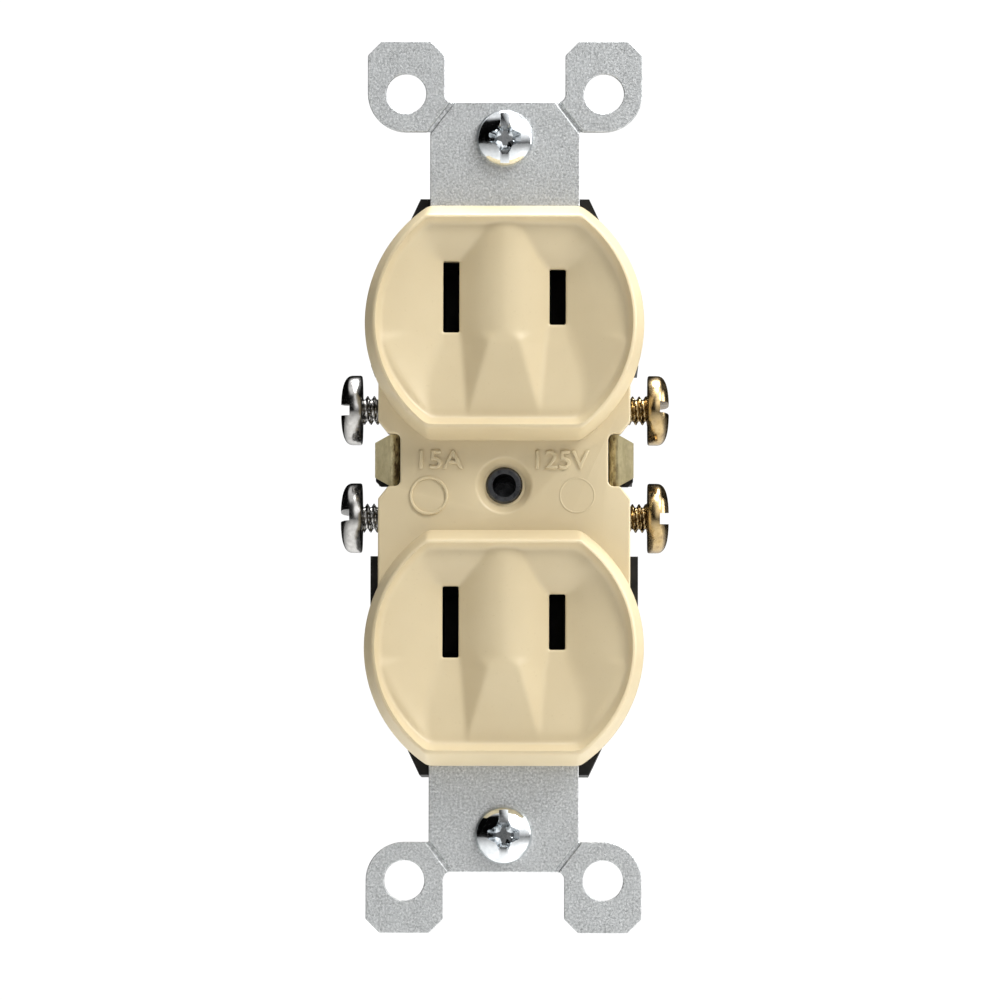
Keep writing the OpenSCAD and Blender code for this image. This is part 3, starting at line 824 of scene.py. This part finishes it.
def dress(obj, mat):
    obj.data.materials.clear()
    obj.data.materials.append(mat)


def dress_node(name, mat):
    """A CAD node keeps its mesh; its material goes on the object's own slots."""
    obj = nodes[name]
    for slot in obj.material_slots:
        slot.link = "OBJECT"
        slot.material = mat


def soften_node(name, width, segments=3):
    """Rounds a CAD node's sharp edges with modifiers, which leave its mesh as it is."""
    obj = nodes[name]
    weld = obj.modifiers.new("weld", "WELD")
    weld.merge_threshold = 1e-6
    bevel = obj.modifiers.new("bevel", "BEVEL")
    bevel.width = width * MM
    bevel.segments = segments
    bevel.limit_method = "ANGLE"
    bevel.angle_limit = BEVEL_ANGLE
    bevel.use_clamp_overlap = True
    bevel.miter_outer = "MITER_ARC"
    normals = obj.modifiers.new("normals", "WEIGHTED_NORMAL")
    normals.keep_sharp = True


# ---- Marks ----

MARK_RISE = 0.26
MARK_SUNK = 0.1


def raised_text(name, text, x, z, width, height):
    """Low raised lettering on the bridge: a generic rating only."""
    curve = bpy.data.curves.new(name, "FONT")
    curve.body = text
    curve.size = 1
    curve.extrude = 0.05
    curve.offset = -0.02
    curve.bevel_depth = 0.035
    curve.bevel_resolution = 1
    curve.resolution_u = 4
    temp = link(name + "_curve", curve)
    bpy.context.view_layer.update()
    graph = bpy.context.evaluated_depsgraph_get()
    mesh = bpy.data.meshes.new_from_object(temp.evaluated_get(graph))
    bpy.data.objects.remove(temp)
    obj = link(name, mesh)
    low, high = [Vector(f(v.co[i] for v in mesh.vertices) for i in range(3)) for f in (min, max)]
    for v in mesh.vertices:
        share = Vector((v.co[i] - low[i]) / (high[i] - low[i]) for i in range(3))
        front = -BRIDGE_FRONT + MARK_SUNK - (MARK_SUNK + MARK_RISE) * share.z
        v.co = Vector((x + (share.x - 0.5) * width, front, z + (share.y - 0.5) * height)) * MM
    bm = bmesh.new()
    bm.from_mesh(mesh)
    bmesh.ops.remove_doubles(bm, verts=bm.verts, dist=1e-7)
    bmesh.ops.recalc_face_normals(bm, faces=bm.faces)
    bm.to_mesh(mesh)
    bm.free()
    return obj


def raised_ring(name, x, z, radius, width, height):
    """A plain low ring."""
    profile = [(radius - width / 2, MARK_SUNK), (radius - width / 2, -height * 0.6),
               (radius - width / 4, -height), (radius + width / 4, -height),
               (radius + width / 2, -height * 0.6), (radius + width / 2, MARK_SUNK)]
    bm = bmesh.new()
    rows = []
    for r, y in profile:
        rows.append([bm.verts.new((x + px, -BRIDGE_FRONT + y, z + pz))
                     for px, pz, _ in circle(r, 0, RING_SEGMENTS)])
    for a, b in zip(rows, rows[1:] + rows[:1]):
        for i in range(RING_SEGMENTS):
            j = (i + 1) % RING_SEGMENTS
            bm.faces.new((a[i], a[j], b[j], b[i]))
    return from_bmesh(name, bm)


# ---- Building the object ----

HOUSING = "housing"
cover = build_cover()
dress(cover, IVORY)
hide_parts("front_cover")
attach(cover, HOUSING)

marks = [raised_text("rating_amps", "15A", -7.5, 3.05, 5.3, 2.25),
         raised_text("rating_volts", "125V", 6.95, 3.05, 6.4, 2.25),
         raised_ring("ring_left", -9.0, -1.25, 2.15, 0.34, 0.22),
         raised_ring("ring_right", 8.7, -1.2, 2.05, 0.2, 0.06)]
for mark in marks:
    dress(mark, IVORY)
    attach(mark, HOUSING)

# Side of each terminal screw, and its slot's turn in degrees
TERMINALS = {"upper_neutral": (-1, 2), "lower_neutral": (-1, -3),
             "upper_hot": (1, -4), "lower_hot": (1, 3)}
for name, (side, angle) in TERMINALS.items():
    node = name + "_screw"
    screw = terminal_screw(node, side, math.radians(angle))
    dress(screw, BRASS_SCREW if side > 0 else SILVER_SCREW)
    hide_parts(node)
    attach(screw, node + "_body")
for end in ("upper", "lower"):
    node = end + "_box_screw"
    screw = box_screw(node)
    dress(screw, BRIGHT_SCREW)
    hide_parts(node)
    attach(screw, node + "_body")

# Material of each CAD node that shows, and the width of its rounded edges
CAD_LOOKS = {"mounting_strap": (ZINC, 0.12), "rear_body": (BLACK, 0.3),
             "centre_rivet": (STEEL, 0.12), "rivet_washer": (STEEL, 0.08),
             "neutral_contact_strip": (BRASS, 0.08),
             "hot_contact_strip": (BRASS, 0.08), "upper_screw_keeper": (FIBRE, 0.08),
             "lower_screw_keeper": (FIBRE, 0.08)}
for name in TERMINALS:
    CAD_LOOKS[name + "_wire_spring"] = (SPRING, 0.05)
for name, (mat, width) in CAD_LOOKS.items():
    dress_node(name, mat)
    soften_node(name, width)


# ---- Floor, light and camera ----

SKY_STRENGTH = 0.7
CARD_STRENGTH = 1.1
BEHIND_STRENGTH = 1.05
FLOOR_LEVEL = -0.2
FLOOR_RADIUS = 1.8

# Place, size and power of each lamp; all of them point at the origin
LAMPS = {"key": ((0.38, -0.33, 0.44), 0.22, 2.85),
         "top_front": ((0.08, -0.18, 0.48), 0.2, 0.75),
         "rim_right": ((0.45, 0.08, 0.12), 0.3, 1.3),
         "rim_top": ((0.06, 0.08, 0.5), 0.3, 3.8)}


def area_light(name, at, size, power):
    data = bpy.data.lights.new(name, "AREA")
    data.shape = "DISK"
    data.size = size
    data.energy = power
    obj = bpy.data.objects.new(name, data)
    obj.location = at
    obj.rotation_euler = (Vector((0, 0, 0)) - Vector(at)).to_track_quat("-Z", "Y").to_euler()
    bpy.context.scene.collection.objects.link(obj)


def build_floor(level, radius):
    bm = bmesh.new()
    bmesh.ops.create_circle(bm, cap_ends=True, segments=128, radius=radius / MM)
    bmesh.ops.translate(bm, verts=bm.verts, vec=(0, 0, level / MM))
    floor = from_bmesh("floor", bm)
    dress(floor, floor_paint())


def build_world():
    """White behind the object, soft light from above, and bright and dark sides for reflections."""
    world = bpy.data.worlds.new("studio")
    bpy.context.scene.world = world
    world.use_nodes = True
    tree = world.node_tree
    path = tree.nodes.new("ShaderNodeLightPath")
    where = tree.nodes.new("ShaderNodeSeparateXYZ")
    tree.links.new(tree.nodes.new("ShaderNodeTexCoord").outputs["Generated"], where.inputs[0])
    x, y, z = where.outputs

    def math_node(operation, a, b):
        node = tree.nodes.new("ShaderNodeMath")
        node.operation = operation
        for socket, value in zip(node.inputs, (a, b)):
            if hasattr(value, "links"):
                tree.links.new(value, socket)
            else:
                socket.default_value = value
        return node.outputs[0]

    to_right = span(tree, x, 0, 1, -0.06, 0.14)
    to_front = span(tree, y, 1, 0, -0.1, 0.25)
    front_right = math_node("MULTIPLY", to_right, to_front)
    front_right = math_node("MULTIPLY", front_right, span(tree, z, 0.1, 2.0, -0.1, 0.4))
    above = span(tree, z, 0, 1, 0.7, 0.85)
    below = span(tree, z, 0.7, 0, -0.6, -0.4)
    cards = math_node("MAXIMUM", math_node("MAXIMUM", front_right, above), below)
    shades = {"sky": span(tree, z, 0, SKY_STRENGTH, 0, 1),
              "cards": math_node("MULTIPLY", cards, CARD_STRENGTH),
              "behind": BEHIND_STRENGTH}
    lit = {}
    for name, strength in shades.items():
        node = tree.nodes.new("ShaderNodeBackground")
        node.inputs["Color"].default_value = (1, 1, 1, 1)
        if hasattr(strength, "links"):
            tree.links.new(strength, node.inputs["Strength"])
        else:
            node.inputs["Strength"].default_value = strength
        lit[name] = node.outputs[0]

    def pick(fac, a, b):
        node = tree.nodes.new("ShaderNodeMixShader")
        for socket, source in zip(node.inputs, (fac, a, b)):
            tree.links.new(source, socket)
        return node.outputs[0]

    reflected = pick(path.outputs["Is Glossy Ray"], lit["sky"], lit["cards"])
    final = pick(path.outputs["Is Camera Ray"], reflected, lit["behind"])
    tree.links.new(final, tree.nodes["World Output"].inputs["Surface"])


SENSOR = 36
VIEW_WIDTH = 0.11953
VIEW_CENTRE = Vector((-0.00051, -STRAP_T * MM, -0.00166))
VIEW_FROM = Vector((0.0087, -1, -0.0523)).normalized()   # a little from the right and below
VIEW_ROLL = math.radians(0.12)
cam_data = bpy.data.cameras.new("camera")
cam_data.sensor_width = SENSOR
cam_data.lens = SENSOR / VIEW_WIDTH
camera = bpy.data.objects.new("camera", cam_data)
camera.location = VIEW_CENTRE + VIEW_FROM
tilt = Quaternion((0, 0, 1), VIEW_ROLL)
camera.rotation_euler = ((-VIEW_FROM).to_track_quat("-Z", "Y") @ tilt).to_euler()
bpy.context.scene.collection.objects.link(camera)
bpy.context.scene.camera = camera
bpy.context.scene.view_settings.view_transform = "Standard"

build_floor(FLOOR_LEVEL, FLOOR_RADIUS)
build_world()
for name, (at, width, power) in LAMPS.items():
    area_light(name, at, width, power)
